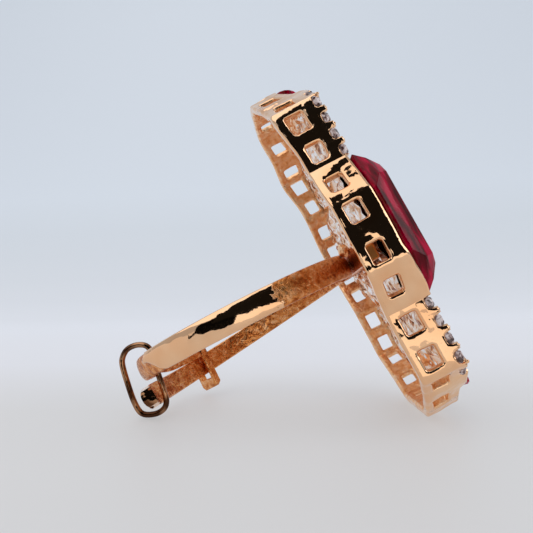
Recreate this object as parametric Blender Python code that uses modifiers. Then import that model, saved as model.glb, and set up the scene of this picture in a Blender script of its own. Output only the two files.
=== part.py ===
"""Adjustable cocktail ring: a stepped openwork head with a large step-cut centre stone, carried
by a shank of two overlapping strips with a keeper and a wire loop.

The parts are modelled in the ring's own frame (X across the head, Y along the finger, Z out of
the head's face, origin at the centre of the shank) under an empty that lays the ring on a table.
"""
from math import atan2, cos, pi, radians, sin

import bmesh
import bpy
from mathutils import Euler, Matrix, Vector

MM = 0.001

# Shank, in millimetres
BAND_OUTER_RADIUS = 10.25
BAND_INNER_RADIUS = 9.2
BAND_OFFSET_Y = -0.94
STRIP_WIDTH = 1.9
NEAR_STRIP_ARC = (-8.0, 177.0)
FAR_STRIP_ARC = (9.0, 192.0)
FAR_STRIP_SKEW = 6.4
STRIP_EDGE = 0.12
STEPS_PER_DEGREE = 0.3
TONGUE_RADII = (8.82, 9.14)
TONGUE_Y = (-1.44, -0.2)
TONGUE_ARC = (152.0, 228.0)
KEEPER_ANGLE = 225.0
KEEPER_LENGTH = 1.45
KEEPER_WALL = 0.3
KEEPER_RADII = (8.44, 11.2)
KEEPER_Y = (-5.5, -0.5)
KEEPER_WINDOW_Y = (-4.3, -1.78)
KEEPER_WINDOW_RADII = (8.78, 10.86)
LOOP_WIRE_RADIUS = 0.25
LOOP_X = -1.9
LOOP_Y = (-4.6, 1.1)
LOOP_Z = (-11.3, -8.2)
LOOP_CORNER_RADIUS = 0.95
LOOP_CORNER_STEP = 15
TIP_CUT_WIDTH = 1.0

# Head, in millimetres
WALL_THICKNESS = 0.7
HEAD_BACK_Z = 9.6
HEAD_FRONT_Z = 13.1
CENTRE_FRONT_Z = 12.7
CENTRE_HALF_WIDTH = 11.0
CENTRE_HALF_LENGTH = 2.5
PANEL_HALF_WIDTH = 9.2
CHAMFER_END_Y = 5.7
PANEL_END_Y = 10.7
SHOULDER_HALF_WIDTH = 6.9
SHOULDER_END_Y = 12.3
TAB_HALF_WIDTH = 3.6
TAB_END_Y = 14.4
TAB_FRONT_Z = 12.65
TAB_STEP_Y = 12.6
HEAD_QUARTER = ((CENTRE_HALF_WIDTH, CENTRE_HALF_LENGTH), (PANEL_HALF_WIDTH, CHAMFER_END_Y),
                (PANEL_HALF_WIDTH, PANEL_END_Y), (SHOULDER_HALF_WIDTH, SHOULDER_END_Y),
                (TAB_HALF_WIDTH, TAB_END_Y))
WINDOW_LENGTH = 1.45
WINDOW_HEIGHT = 1.4
WINDOW_CENTRE_Z = 10.95
CENTRE_WINDOW_Y = 1.55
TAB_END_WINDOW_X = 1.7
# Where windows sit along each edge between the corners of a quarter of the head
EDGE_WINDOWS = ((0.5,), (0.23, 0.74), (0.5,), (0.5,))
WALL_EDGE = 0.12
SEAT_BACK_Z = 11.75
SEAT_LEDGE = 1.3
PANEL_Z = (12.1, 12.85)
PANEL_RECESS_DEPTH = 0.22
PANEL_RECESS_X = 1.75
PANEL_RECESS_Y = 0.45
TAB_PLATE_Z = (11.8, 12.4)
CROSS_BAR_THICKNESS = 0.8
FIT_GAP = 0.04
# How far a cutter reaches past the face it cuts
PAST = 1.0

# Stones, in millimetres
CENTRE_STONE_INSET = 0.4
CENTRE_STONE_BASE_Z = 12.78
# Each level of the centre stone: height above its base, inset from its outline
CENTRE_STONE_STEPS = ((-1.25, 3.0), (-0.7, 1.9), (0.0, 0.4), (0.2, 0.0), (0.85, 0.55),
                      (1.45, 1.1), (1.9, 1.7))
PAVE_RADIUS = 0.57
PAVE_X = 8.75
PAVE_Y = (6.15, 7.5, 8.85, 10.2)
SHOULDER_PAVE_XY = (7.79, 11.13)
PAVE_Z = 12.8
RED_ACCENT_RADIUS = 0.5
RED_ACCENT_XY = (7.5, 6.45)
TAB_STONE_RADIUS = 1.3
TAB_STONE_Y = 12.1
TAB_STONE_Z = 12.7
TAB_SEAT_RADIUS = 1.08
PRONG_RADIUS = 0.24
PRONG_CENTRE_RADIUS = 1.6
PRONG_Z = (12.1, 13.1)
SEAT_CLEARANCE = 0.06
SEAT_DEPTH = 0.5
# Round stones: heights and radii of the cut's levels, as shares of the stone's radius
CULET = (-0.72, 0.06)
GIRDLE_HALF_HEIGHT = 0.05
STAR = (0.24, 0.8)
TABLE = (0.36, 0.56)

# Pose on the table, on the keeper, the wire loop and a corner of the head: turns about X, Y and Z
# in degrees, then the shift that puts the middle of the part's underside at the origin
LYING_TURN = (64.179, 2.711, 90.0)
LYING_SHIFT = (-3.541, -0.231, 8.891)


def clear_scene():
    for old in list(bpy.data.objects):
        bpy.data.objects.remove(old, do_unlink=True)


def new_collection(name, hidden):
    collection = bpy.data.collections.new(name)
    bpy.context.scene.collection.children.link(collection)
    collection.hide_render = hidden
    return collection


def make_material(name, color, metallic, roughness):
    material = bpy.data.materials.new(name)
    material.use_nodes = True
    shader = material.node_tree.nodes["Principled BSDF"]
    shader.inputs["Base Color"].default_value = (*color, 1.0)
    shader.inputs["Metallic"].default_value = metallic
    shader.inputs["Roughness"].default_value = roughness
    return material


def object_from_bmesh(name, mesh_data, collection):
    """Turns a bmesh in millimetres into a mesh object in metres."""
    bmesh.ops.scale(mesh_data, vec=(MM, MM, MM), verts=mesh_data.verts)
    bmesh.ops.recalc_face_normals(mesh_data, faces=mesh_data.faces)
    mesh = bpy.data.meshes.new(name)
    mesh_data.to_mesh(mesh)
    mesh_data.free()
    made = bpy.data.objects.new(name, mesh)
    collection.objects.link(made)
    return made


def outline_solid(name, outlines, z_range, collection):
    """Closed outlines in XY, the second one a hole in the first, filled and given height."""
    curve = bpy.data.curves.new(name, "CURVE")
    curve.dimensions = "2D"
    curve.fill_mode = "BOTH"
    curve.extrude = (z_range[1] - z_range[0]) / 2 * MM
    for outline in outlines:
        spline = curve.splines.new("POLY")
        spline.points.add(len(outline) - 1)
        for point, (x, y) in zip(spline.points, outline):
            point.co = (x * MM, y * MM, 0.0, 1.0)
        spline.use_cyclic_u = True
    drawn = bpy.data.objects.new(name + "_curve", curve)
    bpy.context.scene.collection.objects.link(drawn)
    drawn.location.z = (z_range[0] + z_range[1]) / 2 * MM
    bpy.context.view_layer.update()
    return mesh_from_curve(name, drawn, collection)


def mesh_from_curve(name, drawn, collection):
    """Replaces a curve object by a welded mesh object with its placing baked in."""
    evaluated = drawn.evaluated_get(bpy.context.evaluated_depsgraph_get())
    mesh = bpy.data.meshes.new_from_object(evaluated)
    mesh.transform(drawn.matrix_world)
    mesh.name = name
    welded = bmesh.new()
    welded.from_mesh(mesh)
    bmesh.ops.remove_doubles(welded, verts=welded.verts, dist=0.001 * MM)
    bmesh.ops.dissolve_limit(welded, angle_limit=radians(0.5), verts=welded.verts,
                             edges=welded.edges)
    bmesh.ops.recalc_face_normals(welded, faces=welded.faces)
    welded.to_mesh(mesh)
    welded.free()
    bpy.data.objects.remove(drawn, do_unlink=True)
    made = bpy.data.objects.new(name, mesh)
    collection.objects.link(made)
    return made


def box_solid(name, x_range, y_range, z_range, collection):
    mesh_data = bmesh.new()
    ranges = (x_range, y_range, z_range)
    size = [high - low for low, high in ranges]
    middle = [(high + low) / 2 for low, high in ranges]
    placing = Matrix.Translation(middle) @ Matrix.Diagonal((*size, 1.0))
    bmesh.ops.create_cube(mesh_data, size=1.0, matrix=placing)
    return object_from_bmesh(name, mesh_data, collection)


def cylinder_solid(name, centre, radius, z_range, collection, segments=24):
    mesh_data = bmesh.new()
    placing = Matrix.Translation((centre[0], centre[1], (z_range[0] + z_range[1]) / 2))
    bmesh.ops.create_cone(mesh_data, cap_ends=True, segments=segments, radius1=radius,
                          radius2=radius, depth=z_range[1] - z_range[0], matrix=placing)
    return object_from_bmesh(name, mesh_data, collection)


def bevel_edges(target, width, segments=2):
    bevel = target.modifiers.new("rounded_edges", "BEVEL")
    bevel.width = width * MM
    bevel.segments = segments
    bevel.limit_method = "ANGLE"
    bevel.angle_limit = radians(30)


def boolean(target, tool, operation, solver="EXACT"):
    step = target.modifiers.new(operation.lower() + "_" + tool.name, "BOOLEAN")
    step.object = tool
    step.operation = operation
    step.solver = solver
    tool.display_type = "WIRE"
    tool.hide_render = True


def turned(point, angle):
    """A point (radius, y) of the shank, moved round from the top towards the near side."""
    return Vector((-point[0] * sin(radians(angle)), point[1], point[0] * cos(radians(angle))))


def arc_solid(name, section, arc, collection):
    """Sweeps a section of (radius, y) points round the finger axis."""
    mesh_data = bmesh.new()
    corners = [mesh_data.verts.new(turned(point, arc[0])) for point in section]
    face = mesh_data.faces.new(corners)
    steps = max(2, round(abs(arc[1] - arc[0]) * STEPS_PER_DEGREE))
    bmesh.ops.spin(mesh_data, geom=[face, *face.edges, *face.verts], cent=(0, 0, 0),
                   axis=(0, -1, 0), angle=radians(arc[1] - arc[0]), steps=steps)
    return object_from_bmesh(name, mesh_data, collection)


def strip_section(middle_y):
    """A flat strip whose outer face is gently domed, as (radius, y) points."""
    half = STRIP_WIDTH / 2
    inner, outer, edge = BAND_INNER_RADIUS, BAND_OUTER_RADIUS, STRIP_EDGE
    profile = ((inner, -half + edge), (inner, half - edge), (inner + edge, half),
               (outer - 2 * edge, half), (outer - edge / 2, half / 2), (outer, 0.0),
               (outer - edge / 2, -half / 2), (outer - 2 * edge, -half), (inner + edge, -half))
    return [(radius, middle_y + y) for radius, y in profile]


def stepped_outline():
    return mirrored_quarter(HEAD_QUARTER)


def mirrored_quarter(quarter):
    """Completes a quarter outline, counter-clockwise, about both axes."""
    right = [(x, -y) for x, y in reversed(quarter)] + list(quarter)
    left = [(-x, -y) for x, y in right]
    return right + left


def inset_outline(outline, distance):
    """Moves every edge of a counter-clockwise outline inwards by the same distance."""
    inset = []
    count = len(outline)
    for index, corner in enumerate(outline):
        before = Vector(outline[index - 1])
        here = Vector(corner)
        after = Vector(outline[(index + 1) % count])
        incoming = (here - before).normalized()
        outgoing = (after - here).normalized()
        normal_in = Vector((-incoming.y, incoming.x))
        normal_out = Vector((-outgoing.y, outgoing.x))
        corner_shift = (normal_in + normal_out) / (1 + normal_in.dot(normal_out))
        inset.append(tuple(here + corner_shift * distance))
    return inset


def centre_outline(inset):
    quarter = ((CENTRE_HALF_WIDTH, CENTRE_HALF_LENGTH), (PANEL_HALF_WIDTH, CHAMFER_END_Y))
    return inset_outline(mirrored_quarter(quarter), inset)


def hull_solid(name, layers, collection):
    """The convex solid through layers of (z, outline)."""
    mesh_data = bmesh.new()
    for z, outline in layers:
        for x, y in outline:
            mesh_data.verts.new((x, y, z))
    made = bmesh.ops.convex_hull(mesh_data, input=mesh_data.verts)
    unused = set(made["geom_interior"]) | set(made["geom_unused"])
    bmesh.ops.delete(mesh_data, geom=[v for v in unused if isinstance(v, bmesh.types.BMVert)],
                     context="VERTS")
    bmesh.ops.dissolve_limit(mesh_data, angle_limit=radians(0.5), verts=mesh_data.verts,
                             edges=mesh_data.edges)
    return object_from_bmesh(name, mesh_data, collection)


def ring_points(radius, count, centre, turn=0.0):
    points = []
    for index in range(count):
        angle = 2 * pi * (index + turn) / count
        points.append((centre[0] + radius * cos(angle), centre[1] + radius * sin(angle)))
    return points


def window_places():
    """Position and turn about Z of each window through the gallery wall."""
    quarter = [(CENTRE_HALF_WIDTH, CENTRE_WINDOW_Y, 0.0), (TAB_END_WINDOW_X, TAB_END_Y, pi / 2)]
    for start, end, fractions in zip(HEAD_QUARTER, HEAD_QUARTER[1:], EDGE_WINDOWS):
        run = Vector(end) - Vector(start)
        for fraction in fractions:
            place = Vector(start) + run * fraction
            quarter.append((place.x, place.y, atan2(-run.x, run.y)))
    return [(side * x, end * y, side * end * turn)
            for side in (-1, 1) for end in (-1, 1) for x, y, turn in quarter]


def window_cutters(collection):
    """One mesh with a box through the wall for every window."""
    mesh_data = bmesh.new()
    depth = 3 * WALL_THICKNESS
    for x, y, turn in window_places():
        placing = (Matrix.Translation((x, y, WINDOW_CENTRE_Z)) @ Matrix.Rotation(turn, 4, "Z")
                   @ Matrix.Diagonal((depth, WINDOW_LENGTH, WINDOW_HEIGHT, 1.0)))
        bmesh.ops.create_cube(mesh_data, size=1.0, matrix=placing)
    return object_from_bmesh("window_cutters", mesh_data, collection)


def pave_places():
    row = [(PAVE_X, y) for y in PAVE_Y] + [SHOULDER_PAVE_XY]
    return [(side * x, end * y) for end in (1, -1) for side in (-1, 1) for x, y in row]


def accent_places():
    x, y = RED_ACCENT_XY
    return [(side * x, end * y) for end in (1, -1) for side in (-1, 1)]


def seat_cutters(name, places, radius, collection):
    """Round seats for small stones, open towards the front."""
    mesh_data = bmesh.new()
    low_z = PAVE_Z - SEAT_DEPTH
    high_z = HEAD_FRONT_Z + PAST
    for x, y in places:
        placing = Matrix.Translation((x, y, (low_z + high_z) / 2))
        bmesh.ops.create_cone(mesh_data, cap_ends=True, segments=20,
                              radius1=radius + SEAT_CLEARANCE, radius2=radius + SEAT_CLEARANCE,
                              depth=high_z - low_z, matrix=placing)
    return object_from_bmesh(name, mesh_data, collection)


def build_gallery_wall(parts, cutters, seats):
    outline = stepped_outline()
    inside = inset_outline(outline, WALL_THICKNESS)
    wall = outline_solid("gallery_wall", (outline, inside), (HEAD_BACK_Z, HEAD_FRONT_Z), parts)
    bevel_edges(wall, WALL_EDGE)
    boolean(wall, window_cutters(cutters), "DIFFERENCE")
    for seat in seats:
        boolean(wall, seat, "DIFFERENCE", "MANIFOLD")
    reach = CENTRE_HALF_WIDTH + PAST
    lowerings = (("centre_lowering", (-CHAMFER_END_Y, CHAMFER_END_Y), CENTRE_FRONT_Z),
                 ("upper_lowering", (TAB_STEP_Y, TAB_END_Y + PAST), TAB_FRONT_Z),
                 ("lower_lowering", (-TAB_END_Y - PAST, -TAB_STEP_Y), TAB_FRONT_Z))
    for name, y_range, front_z in lowerings:
        lowered = box_solid(name, (-reach, reach), y_range, (front_z, HEAD_FRONT_Z + PAST),
                            cutters)
        boolean(wall, lowered, "DIFFERENCE")
    return wall


def build_centre_seat(parts, cutters):
    """The frame under the centre stone, open in the middle."""
    z_range = (SEAT_BACK_Z, CENTRE_FRONT_Z - FIT_GAP)
    centre_corner, panel_corner = inset_outline(stepped_outline(), WALL_THICKNESS + FIT_GAP)[5:7]
    quarter = (centre_corner, panel_corner, (panel_corner[0], CHAMFER_END_Y))
    frame = (mirrored_quarter(quarter), centre_outline(WALL_THICKNESS + SEAT_LEDGE))
    seat = outline_solid("centre_seat", frame, z_range, parts)
    pavilion = hull_solid("centre_seat_pocket", centre_stone_layers(SEAT_CLEARANCE)[:4],
                         cutters)
    boolean(seat, pavilion, "DIFFERENCE")
    return seat


def centre_stone_layers(grow):
    """Step-cut octagon from the bottom facet to the table; grow makes it larger all round."""
    return [(CENTRE_STONE_BASE_Z + height - grow,
             centre_outline(CENTRE_STONE_INSET + inset - grow))
            for height, inset in CENTRE_STONE_STEPS]


def build_panel(name, end, parts, cutters, seats):
    """The plate that carries the small stones, between the centre stone and the tab."""
    half_width = PANEL_HALF_WIDTH - WALL_THICKNESS - FIT_GAP
    near_y = CHAMFER_END_Y + FIT_GAP
    far_y = PANEL_END_Y - WALL_THICKNESS - FIT_GAP
    y_range = sorted((end * near_y, end * far_y))
    plate = box_solid(name, (-half_width, half_width), y_range, PANEL_Z, parts)
    bevel_edges(plate, WALL_EDGE / 2, 1)
    recess_half_width = half_width - PANEL_RECESS_X
    recess = box_solid(name + "_recess", (-recess_half_width, recess_half_width),
                       sorted((end * (near_y + PANEL_RECESS_Y), end * (far_y - PANEL_RECESS_Y))),
                       (PANEL_Z[1] - PANEL_RECESS_DEPTH, PANEL_Z[1] + PAST), cutters)
    boolean(plate, recess, "DIFFERENCE")
    for seat in seats:
        boolean(plate, seat, "DIFFERENCE")
    return plate


def build_tab_plate(name, end, parts, cutters):
    """The plate that closes the tapered end of the head and holds its stone in four prongs."""
    inside = inset_outline(stepped_outline(), WALL_THICKNESS + FIT_GAP)
    panel_corner, shoulder_corner, tab_corner = inside[7:10]
    base = (panel_corner[0], PANEL_END_Y - WALL_THICKNESS + FIT_GAP)
    right = [base, panel_corner, shoulder_corner, tab_corner]
    left = [(-x, y) for x, y in reversed(right)]
    outline = [(x, end * y) for x, y in right + left]
    plate = outline_solid(name, [outline], TAB_PLATE_Z, parts)
    centre = (0.0, end * TAB_STONE_Y)
    for index, place in enumerate(ring_points(PRONG_CENTRE_RADIUS, 4, centre, 0.5)):
        prong = cylinder_solid(f"{name}_prong_{index}", place, PRONG_RADIUS, PRONG_Z, cutters, 10)
        boolean(plate, prong, "UNION")
    seat = cylinder_solid(name + "_seat", centre, TAB_SEAT_RADIUS,
                          (TAB_PLATE_Z[0] - PAST, TAB_PLATE_Z[1] + PAST), cutters, 20)
    boolean(plate, seat, "DIFFERENCE")
    return plate


def round_stone_layers(centre, girdle_z, radius):
    """Brilliant-cut outline: culet, girdle, star points and table."""
    girdle_half = GIRDLE_HALF_HEIGHT * radius
    return ((girdle_z + CULET[0] * radius, ring_points(CULET[1] * radius, 4, centre)),
            (girdle_z - girdle_half, ring_points(radius, 16, centre)),
            (girdle_z + girdle_half, ring_points(radius, 16, centre)),
            (girdle_z + STAR[0] * radius, ring_points(STAR[1] * radius, 8, centre, 0.5)),
            (girdle_z + TABLE[0] * radius, ring_points(TABLE[1] * radius, 8, centre)))


def build_stones(parts, clear, red):
    stone = hull_solid("centre_stone", centre_stone_layers(0.0), parts)
    stone.data.materials.append(red)
    for index, place in enumerate(pave_places(), start=1):
        layers = round_stone_layers(place, PAVE_Z, PAVE_RADIUS)
        stone = hull_solid(f"clear_stone_{index:02d}", layers, parts)
        stone.data.materials.append(clear)
    for index, place in enumerate(accent_places(), start=1):
        layers = round_stone_layers(place, PAVE_Z, RED_ACCENT_RADIUS)
        stone = hull_solid(f"red_accent_{index}", layers, parts)
        stone.data.materials.append(red)
    for name, end in (("upper_tab_stone", 1), ("lower_tab_stone", -1)):
        layers = round_stone_layers((0.0, end * TAB_STONE_Y), TAB_STONE_Z, TAB_STONE_RADIUS)
        stone = hull_solid(name, layers, parts)
        stone.data.materials.append(red)


def build_cross_bar(parts):
    half_length = CENTRE_HALF_WIDTH - WALL_THICKNESS - FIT_GAP
    half_width = STRIP_WIDTH / 2
    bar = box_solid("cross_bar", (-half_length, half_length),
                    (BAND_OFFSET_Y - half_width, BAND_OFFSET_Y + half_width),
                    (BAND_OUTER_RADIUS + FIT_GAP, BAND_OUTER_RADIUS + CROSS_BAR_THICKNESS), parts)
    bevel_edges(bar, STRIP_EDGE)
    return bar


def build_near_strip(parts, cutters):
    section = strip_section(BAND_OFFSET_Y)
    strip = arc_solid("near_strip", section, NEAR_STRIP_ARC, parts)
    tip_x = BAND_OUTER_RADIUS * sin(radians(NEAR_STRIP_ARC[1] - 180))
    for side in (-1, 1):
        edge_y = BAND_OFFSET_Y + side * STRIP_WIDTH / 2
        half = TIP_CUT_WIDTH / 2
        cutter = box_solid(f"tip_cutter_{side}", (-half, half), (-half, half),
                           (-TIP_CUT_WIDTH, TIP_CUT_WIDTH), cutters)
        cutter.location = (tip_x * MM, edge_y * MM, -BAND_OUTER_RADIUS * MM)
        cutter.rotation_euler.z = radians(45)
        boolean(strip, cutter, "DIFFERENCE")
    return strip


def build_tongue(parts):
    low_y, high_y = TONGUE_Y
    section = ((TONGUE_RADII[0], low_y), (TONGUE_RADII[0], high_y),
               (TONGUE_RADII[1], high_y), (TONGUE_RADII[1], low_y))
    tongue = arc_solid("tongue", section, TONGUE_ARC, parts)
    bevel_edges(tongue, STRIP_EDGE / 2, 1)
    return tongue


def build_keeper(parts, cutters):
    """A flat sleeve under the tongue's end that wraps the far strip."""
    half_length = KEEPER_LENGTH / 2
    keeper = box_solid("keeper", (-half_length, half_length), KEEPER_Y, KEEPER_RADII, parts)
    bevel_edges(keeper, STRIP_EDGE)
    window = box_solid("keeper_window", (-half_length - PAST, half_length + PAST), KEEPER_WINDOW_Y,
                       KEEPER_WINDOW_RADII, cutters)
    step = box_solid("keeper_step", (-half_length - PAST, half_length + PAST),
                     (KEEPER_WINDOW_Y[1] + KEEPER_WALL, KEEPER_Y[1] + PAST),
                     (KEEPER_WINDOW_RADII[0], KEEPER_RADII[1] + PAST), cutters)
    for tool in (window, step):
        boolean(keeper, tool, "DIFFERENCE")
    for piece in (keeper, window, step):
        piece.rotation_euler.y = radians(-KEEPER_ANGLE)
    return keeper


def build_far_strip(parts):
    """Starts level with the near strip at the top and leans away from it towards the bottom."""
    section = strip_section(0.0)
    strip = arc_solid("far_strip", section, (-FAR_STRIP_ARC[0], -FAR_STRIP_ARC[1]), parts)
    top = Matrix.Translation((0, BAND_OFFSET_Y * MM, BAND_OUTER_RADIUS * MM))
    lean = Matrix.Rotation(radians(-FAR_STRIP_SKEW), 4, "X")
    back = Matrix.Translation((0, 0, -BAND_OUTER_RADIUS * MM))
    strip.data.transform(top @ lean @ back)
    return strip


def build_wire_loop(parts):
    """A closed loop of round wire round both strips, with rounded corners."""
    curve = bpy.data.curves.new("wire_loop", "CURVE")
    curve.dimensions = "3D"
    curve.bevel_depth = LOOP_WIRE_RADIUS * MM
    curve.bevel_resolution = 2
    path = []
    corners = ((LOOP_Y[1], LOOP_Z[1], 0), (LOOP_Y[0], LOOP_Z[1], 90),
               (LOOP_Y[0], LOOP_Z[0], 180), (LOOP_Y[1], LOOP_Z[0], 270))
    for y, z, start in corners:
        centre_y = y - LOOP_CORNER_RADIUS * (1 if y == LOOP_Y[1] else -1)
        centre_z = z - LOOP_CORNER_RADIUS * (1 if z == LOOP_Z[1] else -1)
        for turn in range(0, 90 + LOOP_CORNER_STEP, LOOP_CORNER_STEP):
            angle = radians(start + turn)
            path.append((LOOP_X, centre_y + LOOP_CORNER_RADIUS * cos(angle),
                         centre_z + LOOP_CORNER_RADIUS * sin(angle)))
    spline = curve.splines.new("POLY")
    spline.points.add(len(path) - 1)
    for point, place in zip(spline.points, path):
        point.co = (*(value * MM for value in place), 1.0)
    spline.use_cyclic_u = True
    drawn = bpy.data.objects.new("wire_loop_curve", curve)
    bpy.context.scene.collection.objects.link(drawn)
    bpy.context.view_layer.update()
    return mesh_from_curve("wire_loop", drawn, parts)


def lay_on_table(parts, cutters):
    """Parents every piece to an empty that carries the lying pose."""
    pose = bpy.data.objects.new("lying_pose", None)
    bpy.context.scene.collection.objects.link(pose)
    pose.rotation_euler = Euler([radians(turn) for turn in LYING_TURN])
    pose.location = Vector(LYING_SHIFT) * MM
    for piece in (*parts.objects, *cutters.objects):
        piece.parent = pose


def main():
    clear_scene()
    parts = new_collection("cocktail_ring", False)
    cutters = new_collection("cutters", True)
    gold = make_material("rose_gold", (0.86, 0.57, 0.40), 1.0, 0.18)
    red = make_material("red_glass", (0.55, 0.01, 0.06), 0.0, 0.05)
    clear = make_material("clear_crystal", (0.92, 0.94, 0.96), 0.0, 0.03)

    pave_seats = seat_cutters("pave_seats", pave_places(), PAVE_RADIUS, cutters)
    accent_seats = seat_cutters("accent_seats", accent_places(), RED_ACCENT_RADIUS, cutters)
    metal = [build_gallery_wall(parts, cutters, [pave_seats]), build_centre_seat(parts, cutters),
             build_panel("upper_panel", 1, parts, cutters, [pave_seats, accent_seats]),
             build_panel("lower_panel", -1, parts, cutters, [pave_seats, accent_seats]),
             build_tab_plate("upper_tab_plate", 1, parts, cutters),
             build_tab_plate("lower_tab_plate", -1, parts, cutters),
             build_cross_bar(parts), build_near_strip(parts, cutters), build_tongue(parts),
             build_keeper(parts, cutters), build_far_strip(parts), build_wire_loop(parts)]
    for piece in metal:
        piece.data.materials.append(gold)
    build_stones(parts, clear, red)
    lay_on_table(parts, cutters)


main()
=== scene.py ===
"""Looks of the cocktail ring: a rose-gold openwork head with a red step-cut stone, small clear
stones along its edges and a shank of two strips, lying on its side on a pale table.

Pieces are modelled in millimetres in the ring's own frame (X across the head, Y along the finger,
Z out of the head's face) and carry the pose that lays the ring on the table.
"""

from bisect import bisect_left
from math import atan2, cos, pi, radians, sin, tan
from random import Random

import bmesh
import bpy
from mathutils import Euler, Matrix, Vector, noise


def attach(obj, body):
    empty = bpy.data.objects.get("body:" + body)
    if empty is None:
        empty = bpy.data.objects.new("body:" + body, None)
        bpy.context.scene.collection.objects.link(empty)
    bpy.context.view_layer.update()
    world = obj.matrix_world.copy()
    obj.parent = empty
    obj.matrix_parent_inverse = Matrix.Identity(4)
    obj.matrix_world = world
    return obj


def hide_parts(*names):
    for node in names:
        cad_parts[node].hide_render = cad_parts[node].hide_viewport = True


MM = 0.001
# How the ring lies on the table: turn in degrees, shift in millimetres
LYING_TURN = (64.179, 2.711, 90.0)
LYING_SHIFT = (-3.541, -0.231, 8.891)
RING_POSE = (Matrix.Translation(Vector(LYING_SHIFT) * MM)
             @ Euler([radians(turn) for turn in LYING_TURN]).to_matrix().to_4x4()
             @ Matrix.Scale(MM, 4))
HEAD_BODY = "head_and_near_strip"
FAR_BODY = "far_strip_and_loop"

# Head outline, counter-clockwise: one quarter, and the narrower upper end, in millimetres
HEAD_QUARTER = ((11.0, 2.5), (9.2, 5.7), (9.2, 10.7), (6.9, 12.3), (3.6, 14.4))
UPPER_END = ((3.6, 14.75), (1.6, 15.15))

# Wall round the head, in millimetres
WALL_THICKNESS = 0.7
WALL_LIP = 0.22
CORNER_RADIUS = 0.5
CORNER_STEPS = 5
BACK_Z = 9.6
BACK_UNEVEN = 0.02
# The cast wall stands out of true in waves: (amount, waves a millimetre)
WALL_WAVES = ((0.085, 0.62), (0.022, 1.7))
# Front edge of the wall: (distance from the middle along Y, height)
FRONT_STEPS = ((5.7, 12.7), (12.6, 13.08), (20.0, 12.63))
FRONT_STEP_RUN = 0.3
FRONT_UNEVEN = 0.03
FRONT_WAVES = 0.7
# On the lower half the front edge swells beside the centre stone: (amount, start, run), and its end
FRONT_SWELL = (0.42, 1.6, 3.4)
FRONT_SWELL_END = 5.85
# The flat sheet: step of its edge, how far it runs past both ends, and where it is cut to bend
SHEET_STEP = 0.09
SHEET_OVERLAP = 1.0
WALL_CUT = 0.9
WALL_LEVELS = (10.1, 10.95, 11.8)
# Points nearer than this, in millimetres, are one point
CURVE_GAP = 0.002
CUT_GAP = 0.0001
SEAM_GAP = 0.01
# Towards the ends the wall loses a share of its height and droops
UPPER_TAPER = (0.32, 0.30)
LOWER_TAPER = (0.07, 0.12)
TAPER_START = 12.0
TAPER_RUN = 2.4
# Towards the upper end the back of the wall reaches lower: (amount, start, run), from this height
BACK_REACH = (0.5, 6.5, 4.0)
BACK_REACH_Z = 12.4
BACK_REACH_DEPTH = 2.6

# Windows in the wall, in millimetres, and their places as shares of each edge of the quarter
WINDOW_SIZE = (1.40, 1.16)
WINDOW_CORNER = 0.17
WINDOW_Z = 10.95
WINDOW_BAND = (BACK_Z + 0.5, 11.9)
CENTRE_WINDOW_Y = 1.55
END_WINDOW_X = 1.7
EDGE_WINDOWS = ((0.5,), (0.23, 0.74), (0.5,), (0.5,))

# Small clear stones in the front edge, their notches and the beads between them
PAVE_X = 8.75
PAVE_Y = (6.15, 7.5, 8.85, 10.2)
PAVE_Z = 12.68
PAVE_HALF = 0.47
SHOULDER_PAVE = (7.79, 11.13)
SHOULDER_TURN = 35.0
NOTCH_HALF_WIDTH = 0.41
NOTCH_DEPTH = 0.6
NOTCH_SQUARENESS = 8
BEAD_X = 8.98
BEAD_Y = (6.82, 8.18, 9.53, 10.75)
BEAD_Z = 12.98
BEAD_RADIUS = 0.17
BEAD_NARROWING = 0.8

# Facets that lean less than this against each other, in degrees, are one facet
FLAT_ANGLE = 0.5
# Rows of facets, from the back up: height, and width as a share of the stone's half size
PAVE_FACETS = ((-0.5, 0.35), (-0.12, 1.0), (0.03, 1.0), (0.28, 0.6))
PAVE_CLIP = 0.3
# Centre stone, from the back up: height, half sizes, corner cuts
CENTRE_STONE = ((11.58, 7.6, 2.4, 1.0, 1.0), (12.2, 8.9, 3.9, 1.2, 1.6),
                (12.80, 10.55, 5.35, 1.7, 2.9), (13.02, 10.75, 5.55, 1.7, 3.1),
                (13.75, 10.2, 4.85, 1.1, 1.6), (14.40, 9.6, 3.95, 0.55, 0.7),
                (14.66, 8.5, 3.2, 0.5, 0.6))
WORN_EDGE = 0.025
# Rows of facets of an end stone: height and width as shares, corners, share of a corner turned
OVAL_FACETS = ((-1.7, 0.45, 10, 0.0), (-0.08, 1.0, 20, 0.0), (0.1, 1.0, 20, 0.0),
               (0.6, 0.82, 10, 0.5), (1.0, 0.5, 10, 0.0))
# Stones at the ends: name, centre, half sizes, height, lean in degrees, CAD node
END_STONES = (("upper_end_stone", (0, 15.0, 12.25), 2.5, 1.35, 0.42, -72.0, "upper_tab_stone"),
              ("lower_end_stone", (0, -12.75, 13.42), 5.0, 1.1, 0.5, 0.0, "lower_tab_stone"))

# Tab at the upper end: outline, heights of its back, middle and face, and how they narrow
TAB_OUTLINE = ((5.9, 12.2), (3.1, 14.35), (1.4, 14.7), (-1.4, 14.7), (-3.1, 14.35), (-5.9, 12.2))
TAB_LEVELS = (11.35, 11.75, 11.95)
TAB_NARROWING = 0.97
TAB_SHORTENING = 0.1
TAB_EDGE = 0.06

# Foil behind the stones: gap to the wall, end, height, its steps and creases
BACKING_GAP = 0.15
BACKING_END = 13.4
BACKING_Z = 11.85
BACKING_GRID = (44, 62)
BACKING_SHIFT = 0.12
BACKING_CREASE = 0.16
# It lies deeper behind the centre stone, and dips towards the upper end: (amount, start, run)
BACKING_WELL = (0.45, -5.2, 1.2)
BACKING_DIP = (0.6, 11.8, 1.8)

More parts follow.
